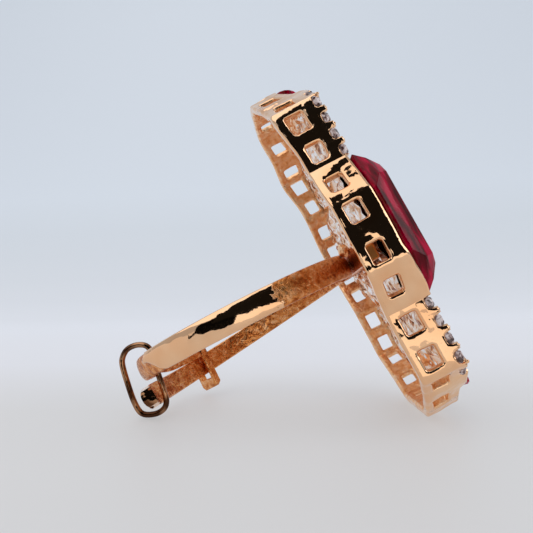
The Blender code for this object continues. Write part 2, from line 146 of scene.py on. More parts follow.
# Shank, in millimetres, with angles in degrees from the top towards the near side
BAND_OUTER = 10.25
BAND_INNER = 9.2
BAND_Y = -0.94
STRIP_HALF_WIDTH = 0.95
STRIP_EDGE = 0.13
STRIP_EDGE_SHARE = 0.4
STRIP_EDGE_SOFTNESS = 0.3
STRIP_RIM = 0.26
DOME_HEIGHT = 0.16
DOME_INSET = 0.08
DOME_STEPS = 8
DOME_SQUARENESS = 2.6
NEAR_ARC = (-8.0, 177.0)
NEAR_STEPS = 150
POLISHED_END = 139.0
POLISHED_LIFT = 0.3
# The polished strip's end, cut back along each edge: (amount, start, run)
CHAMFER = (1.05, POLISHED_END - 14.0, 14.0)
TIP = (0.3, POLISHED_END - 3.0, 3.0)
UNDER_INSET = 0.04
UNDER_DROP = 0.2
FAR_ARC = (-9.0, -200.0)
FAR_STEPS = 160
FAR_SKEW = 6.4
# The far strip's end curls outwards and narrows: (amount, start, run)
FAR_CURL = (0.62, 182.0, 14.0)
FAR_NARROWING = (0.25, 192.0, 8.0)
CURLED_X = -2.3
OUTSIDE_DEPTH = 0.3

# Wire loop: radius of the wire, its plane, and its bends as (Y, Z)
LOOP_RADIUS = 0.25
LOOP_X = -1.9
LOOP_SIDES = 16
LOOP_STEPS = 5
LOOP_BENDS = ((0.67, -8.38), (1.25, -9.13), (1.32, -10.06), (0.90, -10.72), (0.25, -11.05),
              (-1.34, -11.30), (-3.00, -11.45), (-4.10, -11.25), (-4.62, -10.30), (-4.60, -9.44),
              (-4.10, -8.92), (-3.01, -8.72), (-1.69, -8.56), (-0.59, -8.31))

# Tongue: its arc, its section as (radius, Y, share of the widening), and (amount, start, run)
TONGUE_ARC = (152.0, 228.0)
TONGUE_STEPS = 50
TONGUE_SECTION = ((8.84, -1.4, 1), (8.84, -0.25, 0), (9.02, -0.2, 0),
                  (9.14, -0.28, 0), (9.14, -1.34, 1), (9.0, -1.45, 1))
TONGUE_WIDENING = (0.58, 165.0, 35.0)
TONGUE_LOWERING = (0.27, 180.0, 32.0)

# Keeper: its angle, and its outlines as (Y, radius)
KEEPER_ANGLE = 225.0
KEEPER_HALF_WIDTH = 0.38
KEEPER_LIP = 0.18
KEEPER_OUTER = ((-5.3, 8.9), (-5.35, 10.7), (-5.0, 11.05), (-2.0, 11.05), (-1.4, 10.7), (-1.4, 9.1),
                (-0.6, 9.05), (-0.5, 8.4), (-5.0, 8.4))
KEEPER_INNER = ((-4.32, 8.8), (-4.32, 10.6), (-1.76, 10.6), (-1.74, 8.8))

# Solder lump: half sizes, place, and its waves as (amount, waves a radius)
SOLDER_SIZE = (0.75, 0.55, 0.45)
SOLDER_PLACE = (-3.4, 0.15, 10.0)
SOLDER_WAVES = ((0.22, 2.1), (0.08, 6.0))

# Camera, fitted to the view: place in millimetres, turn in degrees
CAMERA_PLACE = (1.859, -42.841, 10.335)
CAMERA_TURN = (93.062, 1.631, 4.131)
CAMERA_LENS = 32.42
SENSOR_WIDTH = 36.0

# Backdrop, in metres: half width, nearest and highest points, start and radius of its sweep
BACKDROP_HALF_WIDTH = 0.9
BACKDROP_FRONT = -0.6
BACKDROP_TOP = 0.9
SWEEP_START = 0.10
SWEEP_RADIUS = 0.25
SWEEP_STEPS = 12

# Cards beside the lens, in millimetres: name, X range, Z range, glow
CARD_Y = -44.5
CARDS = (("lens_card", (-20, 60), (13, 110), 0.006), ("side_card", (-46, -5), (1, 13), 0.0),
         ("side_card_upper", (-46, -20), (13, 26), 0.0), ("bounce_card", (-5, 60), (0.5, 12.9), 1.12))

# Lamps: name, place in metres, size, power, colour
LAMPS = (("key", (-0.15, -0.10, 0.30), (0.5, 0.5), 0.6, (1.0, 0.97, 0.93)),
         ("fill", (0.25, -0.05, 0.20), (0.2, 0.2), 0.2, (0.95, 0.97, 1.0)))
LAMP_TARGET = (0, 0, 0.01)
STUDIO_COLOR = (0.80, 0.86, 0.95, 1.0)
STUDIO_STRENGTH = 0.55

# Colours from the low to the high values of a noise, which follows no hollows: (share of the noise,
# colour)
GOLD = ((0.3, (0.92, 0.51, 0.27)), (0.7, (0.98, 0.64, 0.39)))
DARK_COPPER = ((0.32, (0.46, 0.13, 0.03)), (0.50, (0.78, 0.31, 0.09)), (0.70, (0.97, 0.55, 0.28)))
# A lighter copy of the cast copper: painted light on the wall's inside, and the solder's own pink tone
LIT_WALL_AND_SOLDER_COPPER = ((0.30, (0.80, 0.36, 0.13)), (0.48, (0.97, 0.55, 0.27)), (0.70, (1.0, 0.72, 0.48)))
# Foil: brown and peach tones, and white painted glints
FOIL_WITH_PAINTED_GLINTS = ((0.36, (0.32, 0.10, 0.03)), (0.45, (0.90, 0.52, 0.30)), (0.52, (0.97, 0.78, 0.62)),
        (0.60, (1.0, 0.97, 0.95)))
# Wire and cut end: painted dark reflection, near-black rising to gold patches
PAINTED_DARK_REFLECTION = ((0.42, (0.07, 0.027, 0.012)), (0.64, (0.48, 0.25, 0.13)))
# Ruby: deep red, with lighter and near-black streaks painted as the light and shade of its facets
RUBY_WITH_PAINTED_FACET_LIGHT = ((0.38, (0.07, 0.0, 0.002)), (0.50, (0.22, 0.0, 0.012)), (0.62, (0.54, 0.001, 0.04)))
# Crystal: faint mauve, with painted shade near-black and painted glints near-white
CRYSTAL_WITH_PAINTED_GLINTS = ((0.42, (0.07, 0.028, 0.022)), (0.50, (0.38, 0.24, 0.22)), (0.60, (0.92, 0.77, 0.73)))
# Where the strips' plating turns rough: height in the ring's frame, spread and sharpness
ROUGH_START_Z = 4.75
ROUGH_SPREAD = 2.4
ROUGH_SHARPNESS = 6.0
# Backdrop: colour by height in metres, glow by depth in metres times the spread. Both paint light: the
# glow lightens the ring's shadow on the floor, and the sweep is painted brighter and bluer going up
PALE = ((0.0, (0.25, 0.245, 0.245)), (0.08, (0.36, 0.38, 0.42)))
PAINTED_BACKDROP_GLOW = ((0.0, (0.405, 0.405, 0.41)), (0.12, (0.45, 0.46, 0.50)), (0.45, (0.46, 0.48, 0.53)),
             (1.0, (0.37, 0.40, 0.43)))
PAINTED_GLOW_SPREAD = 4.0


# ---------------------------------------------------------------- materials

def new_material(name):
    material = bpy.data.materials.new(name)
    material.use_nodes = True
    return material, material.node_tree, material.node_tree.nodes["Principled BSDF"]


def object_coords(tree):
    return tree.nodes.new("ShaderNodeTexCoord").outputs["Object"]


def add_noise(tree, coords, scale, detail=3.0, distortion=0.0):
    """Soft noise: features per unit of the coordinates, layers of detail, and swirl."""
    texture = tree.nodes.new("ShaderNodeTexNoise")
    texture.inputs["Scale"].default_value = scale
    texture.inputs["Detail"].default_value = detail
    texture.inputs["Distortion"].default_value = distortion
    tree.links.new(coords, texture.inputs["Vector"])
    return texture.outputs["Fac"]


def add_ramp(tree, factor, stops):
    ramp = tree.nodes.new("ShaderNodeValToRGB")
    elements = ramp.color_ramp.elements
    while len(elements) < len(stops):
        elements.new(0.5)
    for element, (place, color) in zip(elements, stops):
        element.position = place
        element.color = (*color, 1.0)
    tree.links.new(factor, ramp.inputs["Fac"])
    return ramp.outputs["Color"]


def add_math(tree, operation, first, second):
    node = tree.nodes.new("ShaderNodeMath")
    node.operation = operation
    for socket, value in zip(node.inputs, (first, second)):
        if isinstance(value, (int, float)):
            socket.default_value = value
        else:
            tree.links.new(value, socket)
    return node.outputs["Value"]


def add_mix(tree, factor, first, second):
    node = tree.nodes.new("ShaderNodeMix")
    node.data_type = "RGBA"
    tree.links.new(factor, node.inputs["Factor"])
    tree.links.new(first, node.inputs["A"])
    tree.links.new(second, node.inputs["B"])
    return node.outputs["Result"]


def add_bump(tree, shader, layers):
    """Stacks bump layers of (height, distance, strength) on the shader's normal."""
    normal = None
    for height, distance, strength in layers:
        bump = tree.nodes.new("ShaderNodeBump")
        bump.inputs["Distance"].default_value = distance
        bump.inputs["Strength"].default_value = strength
        tree.links.new(height, bump.inputs["Height"])
        if normal is not None:
            tree.links.new(normal, bump.inputs["Normal"])
        normal = bump.outputs["Normal"]
    tree.links.new(normal, shader.inputs["Normal"])


def gold_color(tree, coords):
    drift = add_noise(tree, coords, 0.35, 2.0)
    return add_ramp(tree, drift, GOLD)


def copper_color(tree, coords, stops):
    return add_ramp(tree, add_noise(tree, coords, 1.9, 4.0, 0.4), stops)


def crumpled_foil():
    """Backs of the stones: creased foil in peach and brown, with white patches painted as glints where
    foil and crystal catch the light.
    """
    material, tree, shader = new_material("crumpled_foil")
    coords = object_coords(tree)
    patches = add_noise(tree, coords, 0.95, 3.0, 1.2)
    shader.inputs["Metallic"].default_value = 0.75
    tree.links.new(add_ramp(tree, patches, FOIL_WITH_PAINTED_GLINTS), shader.inputs["Base Color"])
    shader.inputs["Roughness"].default_value = 0.16
    return material


def polished_gold():
    """Thin bright plating over a slightly uneven cast surface."""
    material, tree, shader = new_material("polished_rose_gold")
    coords = object_coords(tree)
    shader.inputs["Metallic"].default_value = 1.0
    tree.links.new(gold_color(tree, coords), shader.inputs["Base Color"])
    smear = add_noise(tree, coords, 3.0, 4.0)
    tree.links.new(add_ramp(tree, smear, ((0.35, (0.03,) * 3), (0.75, (0.11,) * 3))),
                   shader.inputs["Roughness"])
    add_bump(tree, shader, ((add_noise(tree, coords, 0.42, 1.0), 0.42 * MM, 1.0),
                            (add_noise(tree, coords, 1.2, 1.0, 0.5), 0.06 * MM, 1.0),
                            (add_noise(tree, coords, 22.0, 2.0), 0.0002 * MM, 1.0)))
    return material


def cast_copper(name, stops, rough=(0.16, 0.42)):
    """Unpolished faces: grainy, redder plating with bright burrs."""
    material, tree, shader = new_material(name)
    coords = object_coords(tree)
    shader.inputs["Metallic"].default_value = 1.0
    tree.links.new(copper_color(tree, coords, stops), shader.inputs["Base Color"])
    tree.links.new(add_ramp(tree, add_noise(tree, coords, 5.0, 5.0),
                            ((0.3, (rough[0],) * 3), (0.7, (rough[1],) * 3))),
                   shader.inputs["Roughness"])
    add_bump(tree, shader, ((add_noise(tree, coords, 1.1, 2.0, 1.0), 0.13 * MM, 1.0),
                            (add_noise(tree, coords, 4.5, 3.0, 0.6), 0.014 * MM, 1.0)))
    return material


def gold_painted_dark():
    """Wire and cut ends: smooth gold plating, painted near-black as the dark reflection they show, with
    gold patches.
    """
    material, tree, shader = new_material("gold_painted_dark")
    coords = object_coords(tree)
    shader.inputs["Metallic"].default_value = 1.0
    drift = add_noise(tree, coords, 0.55, 2.0)
    tree.links.new(add_ramp(tree, drift, PAINTED_DARK_REFLECTION), shader.inputs["Base Color"])
    shader.inputs["Roughness"].default_value = 0.07
    add_bump(tree, shader, ((add_noise(tree, coords, 1.6, 1.0), 0.05 * MM, 1.0),))
    return material


def strip_gold():
    """Polished plating that turns rough and coppery towards the solder at the head."""
    material, tree, shader = new_material("strip_gold")
    coords = object_coords(tree)
    axes = tree.nodes.new("ShaderNodeSeparateXYZ")
    tree.links.new(coords, axes.inputs["Vector"])
    edge_noise = add_math(tree, "MULTIPLY", add_noise(tree, coords, 1.8, 5.0, 0.8),
                          ROUGH_SPREAD)
    height = add_math(tree, "SUBTRACT", add_math(tree, "ADD", axes.outputs["Z"], edge_noise),
                      ROUGH_START_Z)
    rough = add_math(tree, "MULTIPLY", height, ROUGH_SHARPNESS)
    clamp = tree.nodes.new("ShaderNodeClamp")
    tree.links.new(rough, clamp.inputs["Value"])
    mask = clamp.outputs["Result"]
    shader.inputs["Metallic"].default_value = 1.0
    tree.links.new(add_mix(tree, mask, gold_color(tree, coords),
                           copper_color(tree, coords, DARK_COPPER)),
                   shader.inputs["Base Color"])
    tree.links.new(add_math(tree, "ADD", add_math(tree, "MULTIPLY", mask, 0.25), 0.06),
                   shader.inputs["Roughness"])
    grain = add_math(tree, "MULTIPLY", add_noise(tree, coords, 3.2, 5.0, 1.0), mask)
    add_bump(tree, shader, ((add_noise(tree, coords, 0.5, 1.0), 0.16 * MM, 1.0),
                            (add_noise(tree, coords, 2.6, 1.0, 0.3), 0.006 * MM, 1.0),
                            (grain, 0.12 * MM, 1.0)))
    return material


def ruby_glass():
    """Deep red glass with streaks of lighter and near-black red painted in, as the light and shade of
    its facets.
    """
    material, tree, shader = new_material("ruby_glass")
    coords = object_coords(tree)
    stretched = tree.nodes.new("ShaderNodeMapping")
    stretched.inputs["Scale"].default_value = (0.5, 0.35, 1.6)
    tree.links.new(coords, stretched.inputs["Vector"])
    painted_facet_light_streaks = add_noise(tree, stretched.outputs["Vector"], 1.1, 2.0, 0.3)
    tree.links.new(add_ramp(tree, painted_facet_light_streaks, RUBY_WITH_PAINTED_FACET_LIGHT), shader.inputs["Base Color"])
    shader.inputs["Roughness"].default_value = 0.04
    shader.inputs["IOR"].default_value = 1.36
    shader.inputs["Specular IOR Level"].default_value = 0.2
    shader.inputs["Transmission Weight"].default_value = 0.12
    return material


def clear_glass():
    """Cut crystal with a faint mauve cast, painted in dark and bright patches as the shade and glints
    of its facets.
    """
    material, tree, shader = new_material("clear_crystal")
    coords = object_coords(tree)
    painted_glints_and_shade = add_noise(tree, coords, 3.0, 2.0, 0.6)
    tree.links.new(add_ramp(tree, painted_glints_and_shade, CRYSTAL_WITH_PAINTED_GLINTS), shader.inputs["Base Color"])
    shader.inputs["Roughness"].default_value = 0.03
    shader.inputs["IOR"].default_value = 1.6
    shader.inputs["Transmission Weight"].default_value = 0.2
    return material


# ---------------------------------------------------------------- mesh helpers

def add_piece(name, mesh_data, material, body, replaced=(), smooth=True):
    """Finishes a bmesh in ring millimetres as a piece that rides on a body."""
    bmesh.ops.recalc_face_normals(mesh_data, faces=mesh_data.faces)
    mesh = bpy.data.meshes.new(name)
    mesh_data.to_mesh(mesh)
    mesh_data.free()
    mesh.polygons.foreach_set("use_smooth", [smooth] * len(mesh.polygons))
    piece = bpy.data.objects.new(name, mesh)
    bpy.context.scene.collection.objects.link(piece)
    piece.matrix_world = RING_POSE
    piece.data.materials.append(material)
    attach(piece, body)
    if replaced:
        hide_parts(*replaced)
    return piece


def weighted_normals(piece):
    piece.modifiers.new("flat_faces_stay_flat", "WEIGHTED_NORMAL").keep_sharp = True


def inset_outline(outline, distance):
    """Moves every edge of a counter-clockwise outline inwards by the same distance."""
    inset = []
    for index, corner in enumerate(outline):
        before, after = Vector(outline[index - 1]), Vector(outline[(index + 1) % len(outline)])
        incoming = (Vector(corner) - before).normalized()
        outgoing = (after - Vector(corner)).normalized()
        normals = Vector((-incoming.y, incoming.x)), Vector((-outgoing.y, outgoing.x))
        shift = (normals[0] + normals[1]) / (1 + normals[0].dot(normals[1]))
        inset.append(tuple(Vector(corner) + shift * distance))
    return inset


def head_outline():
    """The head's outline, counter-clockwise from the middle of the far side."""
    upper = list(HEAD_QUARTER[:-1]) + list(UPPER_END)
    lower = list(HEAD_QUARTER)
    return (upper + [(-x, y) for x, y in reversed(upper)] + [(-x, -y) for x, y in lower]
            + [(x, -y) for x, y in reversed(lower)])


def smooth_step(value):
    value = min(1.0, max(0.0, value))
    return value * value * (3 - 2 * value)


def ease(value, amount, start, run):
    """Rises smoothly from nothing at the start to the full amount after the run."""
    return amount * smooth_step((value - start) / run)


def loft(rings, closed=False):
    """A solid through rings of equal point count, capped at both ends or closed on itself."""
    mesh_data = bmesh.new()
    loops = [[mesh_data.verts.new(point) for point in ring] for ring in rings]
    count = len(loops[0])
    pairs = list(zip(loops, loops[1:])) + ([(loops[-1], loops[0])] if closed else [])
    for low, high in pairs:
        for index in range(count):
            after = (index + 1) % count
            mesh_data.faces.new((low[index], low[after], high[after], high[index]))
    if not closed:
        mesh_data.faces.new(loops[0])
        mesh_data.faces.new(loops[-1])
    return mesh_data


def filled_sheet(name, outlines, half_thickness, lip, resolution):
    """A flat sheet with rounded lips, filled between closed outlines, as a welded bmesh."""
    curve = bpy.data.curves.new(name, "CURVE")
    curve.dimensions = "2D"
    curve.fill_mode = "BOTH"
    curve.extrude = half_thickness - lip
    curve.bevel_depth = lip
    curve.bevel_resolution = resolution
    curve.offset = -lip
    for outline in outlines:
        spline = curve.splines.new("POLY")
        spline.points.add(len(outline) - 1)
        for point, (x, y) in zip(spline.points, outline):
            point.co = (x, y, 0.0, 1.0)
        spline.use_cyclic_u = True
    drawn = bpy.data.objects.new(name, curve)
    bpy.context.scene.collection.objects.link(drawn)
    mesh = bpy.data.meshes.new_from_object(
        drawn.evaluated_get(bpy.context.evaluated_depsgraph_get()))
    bpy.data.objects.remove(drawn, do_unlink=True)
    welded = bmesh.new()
    welded.from_mesh(mesh)
    bmesh.ops.remove_doubles(welded, verts=welded.verts, dist=CURVE_GAP)
    return welded


def wire_rings(path, radius, sides):
    """Rings of points round a closed path, for a round wire."""
    rings = []
    count = len(path)
    for index, point in enumerate(path):
        along = (path[(index + 1) % count] - path[index - 1]).normalized()
        side = along.cross(Vector((1, 0, 0))).normalized()
        other = along.cross(side)
        rings.append([point + (side * cos(2 * pi * step / sides)
                               + other * sin(2 * pi * step / sides)) * radius
                      for step in range(sides)])
    return rings


# ---------------------------------------------------------------- gallery wall

class WallPath:
    """The middle line of the wall, with rounded corners, by distance from the far side."""

    def __init__(self):
        corners = inset_outline(head_outline(), WALL_THICKNESS / 2)
        start = (Vector(corners[-1]) + Vector(corners[0])) / 2
        self.samples = [(0.0, start, Vector((1.0, 0.0)))]
        for index, corner in enumerate(corners):
            self.round_corner(Vector(corners[index - 1]), Vector(corner),
                              Vector(corners[(index + 1) % len(corners)]))
        self.add_sample(start, Vector((1.0, 0.0)))
        self.length = self.samples[-1][0]
        self.distances = [sample[0] for sample in self.samples]

    def add_sample(self, point, normal):
        distance, last, _ = self.samples[-1]
        self.samples.append((distance + (point - last).length, point, normal))

    def round_corner(self, before, corner, after):
        incoming, outgoing = (corner - before).normalized(), (after - corner).normalized()
        first = atan2(-incoming.x, incoming.y)
        turn = atan2(incoming.x * outgoing.y - incoming.y * outgoing.x, incoming.dot(outgoing))
        side = 1 if turn > 0 else -1
        entry = corner - incoming * CORNER_RADIUS * tan(abs(turn) / 2)
        centre = entry - Vector((cos(first), sin(first))) * CORNER_RADIUS * side
        for step in range(CORNER_STEPS + 1):
            angle = first + turn * step / CORNER_STEPS
            normal = Vector((cos(angle), sin(angle)))
            self.add_sample(centre + normal * CORNER_RADIUS * side, normal)

    def place(self, distance):
        """Point and outward normal at a distance along the wall."""
        index = min(len(self.samples) - 1, max(1, bisect_left(self.distances, distance)))
        low, high = self.samples[index - 1], self.samples[index]
        part = (distance - low[0]) / max(1e-9, high[0] - low[0])
        return low[1].lerp(high[1], part), low[2].lerp(high[2], part).normalized()

    def nearest(self, point):
        """Distance along the wall of the place nearest to a point."""
        best = (1e9, 0.0)
        for low, high in zip(self.samples, self.samples[1:]):
            run = high[1] - low[1]
            part = min(1.0, max(0.0, (point - low[1]).dot(run) / max(1e-9, run.length_squared)))
            gap = (low[1] + run * part - point).length
            best = min(best, (gap, low[0] + (high[0] - low[0]) * part))
        return best[1]


def window_places():
    """The middle of every window, as a place on the head's outline."""
    quarter = [(HEAD_QUARTER[0][0], CENTRE_WINDOW_Y), (END_WINDOW_X, HEAD_QUARTER[-1][1])]
    for start, end, fractions in zip(HEAD_QUARTER, HEAD_QUARTER[1:], EDGE_WINDOWS):
        run = Vector(end) - Vector(start)
        quarter.extend(tuple(Vector(start) + run * fraction) for fraction in fractions)
    return [Vector((side * x, end * y)) for side in (-1, 1) for end in (-1, 1)
            for x, y in quarter]


def pave_places():
    """The middle of every small clear stone."""
    row = [(PAVE_X, y) for y in PAVE_Y] + [SHOULDER_PAVE]
    return [(side * x, end * y) for end in (1, -1) for side in (-1, 1) for x, y in row]


def front_height(path, distance, notches):
    """Height of the wall's front edge, with a square notch beside every clear stone."""
    along_finger = path.place(distance)[0].y
    y = abs(along_finger)
    height = FRONT_STEPS[0][1]
    for (edge, low), (_, high) in zip(FRONT_STEPS, FRONT_STEPS[1:]):
        height += (high - low) * smooth_step((y - edge) / FRONT_STEP_RUN + 0.5)
    if along_finger < 0:
        height += ease(y, *FRONT_SWELL) * smooth_step((FRONT_SWELL_END - y) / FRONT_STEP_RUN)
    for notch in notches:
        across = (distance - notch) / NOTCH_HALF_WIDTH
        if abs(across) < 1:
            height -= NOTCH_DEPTH * (1 - across ** NOTCH_SQUARENESS)
    return height + FRONT_UNEVEN * noise.noise(Vector((distance * FRONT_WAVES, 0, 0)))


def rounded_window(centre, random):
    """A slightly irregular rounded square of (distance, height) points."""
    half_x = WINDOW_SIZE[0] / 2 * random.uniform(0.96, 1.06)
    half_y = WINDOW_SIZE[1] / 2 * random.uniform(0.97, 1.06)
    lean = random.uniform(-0.05, 0.05)
    arc_steps = 4
    points = []
    for sign_x, sign_y, start in ((1, 1, 0), (-1, 1, 90), (-1, -1, 180), (1, -1, 270)):
        radius = WINDOW_CORNER * random.uniform(0.6, 1.3)
        for step in range(arc_steps + 1):
            angle = radians(start + 90 / arc_steps * step)
            x = sign_x * (half_x - radius) + radius * cos(angle)
            y = sign_y * (half_y - radius) + radius * sin(angle)
            points.append((centre[0] + x + lean * y, centre[1] + y - lean * x))
    return points


def wall_sheet(path):
    """The wall rolled out flat: X along it, Y up, Z outwards."""
    random = Random(7)
    notches = [path.nearest(Vector(place)) for place in pave_places()]
    count = int((path.length + 2 * SHEET_OVERLAP) / SHEET_STEP)
    along = [-SHEET_OVERLAP + SHEET_STEP * index for index in range(count + 1)]
    edge = [(s, BACK_Z + BACK_UNEVEN + BACK_UNEVEN * noise.noise(Vector((s, 5, 0)))) for s in along]
    edge += [(s, front_height(path, s % path.length, notches)) for s in reversed(along)]
    windows = [rounded_window((path.nearest(place), WINDOW_Z), random)
               for place in window_places()]
    return filled_sheet("wall_sheet", (edge, *windows), WALL_THICKNESS / 2, WALL_LIP, 2)


def cut_sheet(sheet, distance, clear_inner=False, clear_outer=False, normal=(1, 0, 0)):
    bmesh.ops.bisect_plane(sheet, geom=[*sheet.verts, *sheet.edges, *sheet.faces],
                           plane_co=Vector(normal) * distance, plane_no=normal, dist=CUT_GAP,
                           clear_inner=clear_inner, clear_outer=clear_outer)


def uneven(point):
    """How far the hand-cast wall stands out of true at a place, in millimetres."""
    return sum(amount * noise.noise(point * waves) for amount, waves in WALL_WAVES)


def wall_spot(path, along, height, out):
    """Turns a place on the flat sheet into one on the bent wall."""
    point, normal = path.place(min(path.length, max(0.0, along)))
    spot = point + normal * out
    place = Vector((spot.x, spot.y, end_height(spot.y, height)))
    return place + Vector((normal.x, normal.y, 0)) * uneven(place)


def mark_inner_faces(sheet):
    """Second material on the side that faces into the head and inside the windows."""
    inner = -WALL_THICKNESS / 2 + WALL_LIP / 2
    for face in sheet.faces:
        centre = face.calc_center_median()
        inside_window = (abs(centre.z) < WALL_LIP
                         and WINDOW_BAND[0] < centre.y < WINDOW_BAND[1])
        face.material_index = 1 if centre.z < inner or inside_window else 0


def build_wall(material, inner_material):
    """The openwork wall: a flat sheet cut into short lengths and bent round the head."""
    path = WallPath()
    sheet = wall_sheet(path)
    mark_inner_faces(sheet)
    cut_sheet(sheet, 0.0, clear_inner=True)
    cut_sheet(sheet, path.length, clear_outer=True)
    for distance, _, _ in path.samples[1:-1]:
        cut_sheet(sheet, distance)
    for step in range(1, int(path.length / WALL_CUT)):
        cut_sheet(sheet, step * WALL_CUT)
    for height in WALL_LEVELS:
        cut_sheet(sheet, height, normal=(0, 1, 0))
    for vert in sheet.verts:
        vert.co = wall_spot(path, *vert.co)
    bmesh.ops.remove_doubles(sheet, verts=sheet.verts, dist=SEAM_GAP)
    wall = add_piece("gallery_wall_cast", sheet, material, HEAD_BODY, ("gallery_wall",))
    wall.data.materials.append(inner_material)
    weighted_normals(wall)


def end_height(y, height):
    """Lowers the wall towards the tapered ends of the head, which also bend back."""
    shrink, droop = UPPER_TAPER if y > 0 else LOWER_TAPER
    part = smooth_step((abs(y) - TAPER_START) / TAPER_RUN)
    reach = ease(y, *BACK_REACH) * smooth_step((BACK_REACH_Z - height) / BACK_REACH_DEPTH)
    return BACK_Z + (height - BACK_Z) * (1 - shrink * part) - droop * part - reach


# ---------------------------------------------------------------- stones

def hull(layers):
    """The convex solid through layers of (height, outline)."""
    mesh_data = bmesh.new()
    for z, outline in layers:
        for x, y in outline:
            mesh_data.verts.new((x, y, z))
    made = bmesh.ops.convex_hull(mesh_data, input=mesh_data.verts)
    unused = set(made["geom_interior"]) | set(made["geom_unused"])
    bmesh.ops.delete(mesh_data, geom=[v for v in unused if isinstance(v, bmesh.types.BMVert)],
                     context="VERTS")
    bmesh.ops.dissolve_limit(mesh_data, angle_limit=radians(FLAT_ANGLE), verts=mesh_data.verts,
                             edges=mesh_data.edges)
    return mesh_data


def cut_corners(half_x, half_y, cut_x, cut_y):
    """A rectangle with its corners cut off, counter-clockwise."""
    return [(half_x, half_y - cut_y), (half_x - cut_x, half_y),
            (cut_x - half_x, half_y), (-half_x, half_y - cut_y),
            (-half_x, cut_y - half_y), (cut_x - half_x, -half_y),
            (half_x - cut_x, -half_y), (half_x, cut_y - half_y)]


def build_centre_stone(material):
    """Step cut: a pavilion in two steps, a girdle, a steep crown and a wide table."""
    layers = [(z, cut_corners(*sizes)) for z, *sizes in CENTRE_STONE]
    stone = add_piece("centre_stone_cut", hull(layers), material, HEAD_BODY, ("centre_stone",),
                      False)
    stone.modifiers.new("worn_facet_edges", "BEVEL").width = WORN_EDGE


def square_stone(centre, half, turn):
    """A small square cut with clipped corners: pavilion, girdle, crown and table."""
    layers = [(z, cut_corners(half * share, half * share, PAVE_CLIP * half * share,
                              PAVE_CLIP * half * share)) for z, share in PAVE_FACETS]
    mesh_data = hull(layers)
    place = Matrix.Translation(centre) @ Matrix.Rotation(turn, 4, "Z")
    bmesh.ops.transform(mesh_data, matrix=place, verts=mesh_data.verts)
    return mesh_data


def oval_stone(centre, half_x, half_y, height, lean):
    """An oval cut that leans about the X axis, with rows of facets up to a small table."""
    layers = []
    for level, share, count, turn in OVAL_FACETS:
        angles = [2 * pi * (index + turn) / count for index in range(count)]
        layers.append((level * height, [(half_x * share * cos(angle), half_y * share * sin(angle))
                                        for angle in angles]))
    mesh_data = hull(layers)
    place = Matrix.Translation(centre) @ Matrix.Rotation(radians(lean), 4, "X")
    bmesh.ops.transform(mesh_data, matrix=place, verts=mesh_data.verts)
    return mesh_data


def build_small_stones(clear, red):
    """Clear stones in the notches of the wall, and red stones at the ends."""
    for index, (x, y) in enumerate(pave_places(), start=1):
        on_shoulder = abs(y) == SHOULDER_PAVE[1]
        turn = radians(SHOULDER_TURN) * (1 if x * y > 0 else -1) if on_shoulder else 0.0
        stone = add_piece(f"clear_stone_cut_{index:02d}", square_stone((x, y, PAVE_Z), PAVE_HALF, turn),
                          clear, HEAD_BODY, (f"clear_stone_{index:02d}",), False)
    for name, centre, half_x, half_y, height, lean, node in END_STONES:
        stone = add_piece(name, oval_stone(centre, half_x, half_y, height, lean), red, HEAD_BODY,
                          (node,), False)


def build_beads(material):
    """The beads of metal between the clear stones."""
    beads = bmesh.new()
    narrowing = Matrix.Diagonal((BEAD_NARROWING, BEAD_NARROWING, 1.0, 1.0))
    for end in (-1, 1):
        for side in (-1, 1):
            for y in BEAD_Y:
                spot = Matrix.Translation((side * BEAD_X, end * y, BEAD_Z))
                bmesh.ops.create_icosphere(beads, subdivisions=2, radius=BEAD_RADIUS,
                                           matrix=spot @ narrowing)
    add_piece("setting_beads", beads, material, HEAD_BODY)


def build_upper_tab(material):
    """The bent-back tab at the upper end that the red stone is set on."""
    narrow = [(x * TAB_NARROWING, y - TAB_SHORTENING) for x, y in TAB_OUTLINE]
    layers = list(zip(TAB_LEVELS, (narrow, TAB_OUTLINE, narrow)))
    tab = add_piece("upper_tab", hull(layers), material, HEAD_BODY, ("upper_tab_plate",), False)
    tab.modifiers.new("rounded_edges", "BEVEL").width = TAB_EDGE


def inner_half_width(y):
    """Half the width inside the wall at a place along the finger axis."""
    last = (0.0, HEAD_QUARTER[0][0])
    for half_x, corner_y in HEAD_QUARTER:
        if abs(y) <= corner_y:
            part = (abs(y) - last[0]) / max(1e-6, corner_y - last[0])
            return last[1] + (half_x - last[1]) * part - WALL_THICKNESS - BACKING_GAP
        last = (corner_y, half_x)
    return last[1] - WALL_THICKNESS - BACKING_GAP


def build_backing(material):
    """The crumpled metal behind the stones, which shows through the near windows."""
    random = Random(11)
    columns, rows = BACKING_GRID
    mesh_data = bmesh.new()
    grid = []
    for row in range(rows + 1):
        y = -BACKING_END + 2 * BACKING_END * row / rows
        level = BACKING_Z - ease(-abs(y), *BACKING_WELL) - ease(y, *BACKING_DIP)
        line = []
        for column in range(columns + 1):
            x = (2 * column / columns - 1) * inner_half_width(y)
            z = level + random.uniform(-BACKING_CREASE, BACKING_CREASE)
            shift = random.uniform(-BACKING_SHIFT, BACKING_SHIFT)
            line.append(mesh_data.verts.new((x + shift, y, z)))
        grid.append(line)
    for low, high in zip(grid, grid[1:]):
        for index in range(columns):
            mesh_data.faces.new((low[index], low[index + 1], high[index + 1], high[index]))
    backing = add_piece("stone_backing", mesh_data, material, HEAD_BODY, (), False)


# ---------------------------------------------------------------- shank

def turned(radius, y, angle):
    """A point of the shank, moved round from the top towards the near side."""
    return Vector((-radius * sin(radians(angle)), y, radius * cos(radians(angle))))


